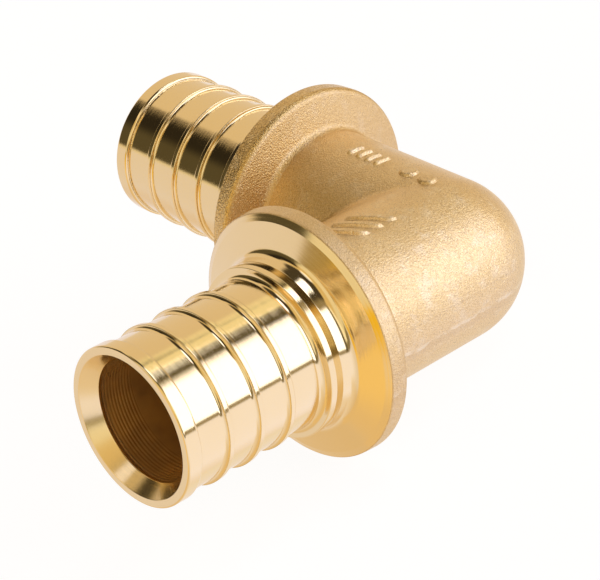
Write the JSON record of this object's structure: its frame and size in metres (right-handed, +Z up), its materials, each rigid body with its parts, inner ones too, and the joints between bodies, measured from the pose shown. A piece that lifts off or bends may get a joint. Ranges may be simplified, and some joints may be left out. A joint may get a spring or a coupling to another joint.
{
  "type": "elbow pipe fitting",
  "caption": "Brass quarter bend for plastic heating and water pipe, with a ringed spigot and a collar on each leg for sliding sleeves.",
  "frame": {"origin": "centre of the box round the part, on the surface it lies on", "axes": "+Y from the leg at the front to the leg at the back, across the mirror plane between them; -X the side that both mouths look to, a little raised; +Z up"},
  "size_m": [0.0426, 0.0698, 0.0256],
  "materials": {
    "brass": "turned and polished spigots and collar fronts, blasted forging elsewhere"
  },
  "bodies": {
    "root": {"elbow": "brass"}
  },
  "joints": []
}
